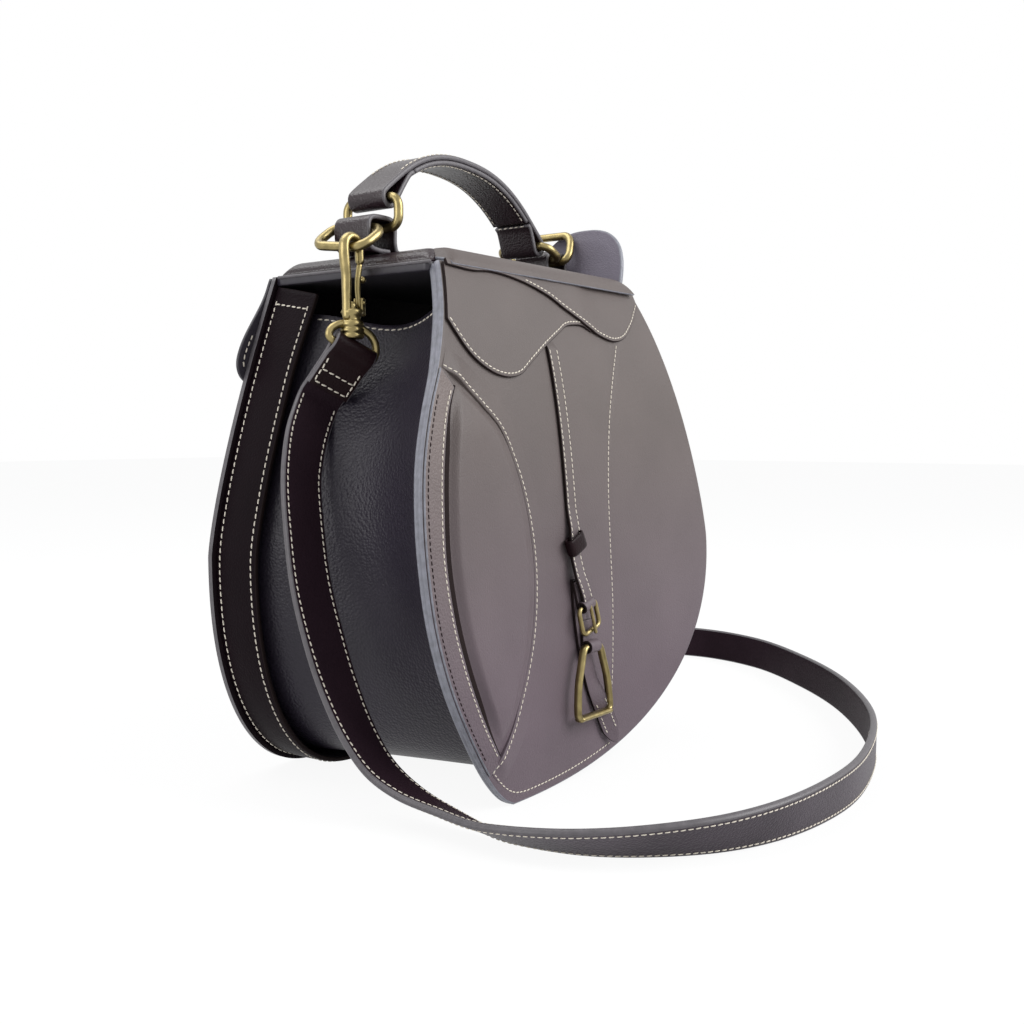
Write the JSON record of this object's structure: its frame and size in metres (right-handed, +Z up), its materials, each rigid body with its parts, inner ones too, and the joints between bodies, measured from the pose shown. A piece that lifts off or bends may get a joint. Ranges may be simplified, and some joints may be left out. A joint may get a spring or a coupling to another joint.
{
  "type": "top handle bag",
  "caption": "Saddle-shaped leather top handle bag with a layered fold-over flap, stirrup trim, arched handle and a clip-on shoulder strap",
  "frame": {"origin": "On the floor under the middle of the bag's own box, the shoulder strap left out", "axes": "+X to the bag's right seen from the flap, +Y to the back panel, +Z up; the flap faces -Y"},
  "size_m": [0.4246, 0.3124, 0.3037],
  "materials": {
    "front_leather": "smooth taupe calf leather with grey painted edges",
    "dark_leather": "pebbled dark plum leather",
    "brown_leather": "smooth red-brown leather",
    "antique_brass": "polished antique brass",
    "snap_steel": "plated steel",
    "lining_board": "lining cloth over a stiff board"
  },
  "bodies": {
    "root": {"back_panel": "dark_leather", "back_yoke": "dark_leather", "slip_pocket": "dark_leather", "rear_band": "dark_leather", "gusset": "dark_leather", "front_panel": "dark_leather", "base_board": "lining_board", "snap_front_half": "snap_steel", "lid_board": "dark_leather", "seat_pad": "front_leather", "cantle": "front_leather", "chape_left": "dark_leather", "chape_right": "dark_leather", "strap_ring_left": "antique_brass", "strap_ring_right": "antique_brass", "swivel_eye_left": "antique_brass", "swivel_eye_right": "antique_brass", "shoulder_strap": "dark_leather", "strap_fold_left": "dark_leather", "strap_fold_right": "dark_leather"},
    "flap": {"flap_panel": "front_leather", "large_skirt": "front_leather", "small_skirt": "front_leather", "flap_edge_band": "front_leather", "knee_roll": "front_leather", "stirrup_leather": "front_leather", "billet_tail": "front_leather", "buckle_frame": "antique_brass", "buckle_loop": "front_leather", "stirrup_loop": "front_leather", "snap_flap_half": "snap_steel"},
    "keeper": {"keeper_loop": "brown_leather"},
    "prong": {"buckle_prong": "antique_brass"},
    "stirrup_iron": {"stirrup": "antique_brass"},
    "ring_left": {"handle_ring_left": "antique_brass"},
    "ring_right": {"handle_ring_right": "antique_brass"},
    "handle": {"handle_strap": "dark_leather"},
    "clip_left": {"hook_left": "antique_brass", "gate_pin_left": "antique_brass"},
    "clip_right": {"hook_right": "antique_brass", "gate_pin_right": "antique_brass"},
    "gate_left": {"hook_gate_left": "antique_brass"},
    "gate_right": {"hook_gate_right": "antique_brass"}
  },
  "joints": [
    {"name": "flap_fold", "type": "hinge", "parent": "root", "child": "flap", "pos_m": [0, -0.04093, 0.2386], "axis": [-1, 0, 0], "range_deg": [0, 100]},
    {"name": "keeper_slide", "type": "slide", "parent": "flap", "child": "keeper", "axis": [0, -0.0726, -0.9974], "range_m": [0, 0.007]},
    {"name": "prong_turn", "type": "hinge", "parent": "flap", "child": "prong", "pos_m": [-0.002, -0.07451, 0.08457], "axis": [-1, 0, 0], "range_deg": [0, 70]},
    {"name": "stirrup_swing", "type": "hinge", "parent": "flap", "child": "stirrup_iron", "pos_m": [0, -0.07599, 0.06258], "axis": [-1, 0, 0], "range_deg": [0, 70]},
    {"name": "ring_left_turn", "type": "hinge", "parent": "root", "child": "ring_left", "pos_m": [-0.066, 0.00897, 0.2597], "axis": [0, 1, 0], "range_deg": [-2, 15]},
    {"name": "handle_turn", "type": "hinge", "parent": "ring_left", "child": "handle", "pos_m": [-0.066, 0.00897, 0.274], "axis": [0, 1, 0], "range_deg": [-17.77, 2.37]},
    {"name": "ring_right_turn", "type": "hinge", "parent": "root", "child": "ring_right", "pos_m": [0.066, 0.00897, 0.2597], "axis": [0, 1, 0], "range_deg": [-3.64, 27.3]},
    {"name": "clip_left_swivel", "type": "hinge", "parent": "root", "child": "clip_left", "pos_m": [-0.09067, 0.00397, 0.20795], "axis": [0, 0, 1], "range_deg": [-8, 8]},
    {"name": "clip_right_swivel", "type": "hinge", "parent": "root", "child": "clip_right", "pos_m": [0.095, 0.06251, 0.25878], "axis": [-0.37, -0.9061, 0.205], "range_deg": [-8, 8]},
    {"name": "gate_left_turn", "type": "hinge", "parent": "clip_left", "child": "gate_left", "pos_m": [-0.08587, 0.00397, 0.22435], "axis": [0, -1, 0], "range_deg": [0, 16], "stiffness_Nm_per_rad": 0.02, "springref_deg": -17.19},
    {"name": "gate_right_turn", "type": "hinge", "parent": "clip_right", "child": "gate_right", "pos_m": [0.08513, 0.04967, 0.26425], "axis": [0.4848, 0, 0.8746], "range_deg": [0, 16], "stiffness_Nm_per_rad": 0.02, "springref_deg": -17.19}
  ],
  "couplings": [
    {"joint": "handle_turn", "follows": "ring_left_turn", "ratio": -1.185},
    {"joint": "ring_right_turn", "follows": "ring_left_turn", "ratio": 1.82}
  ]
}
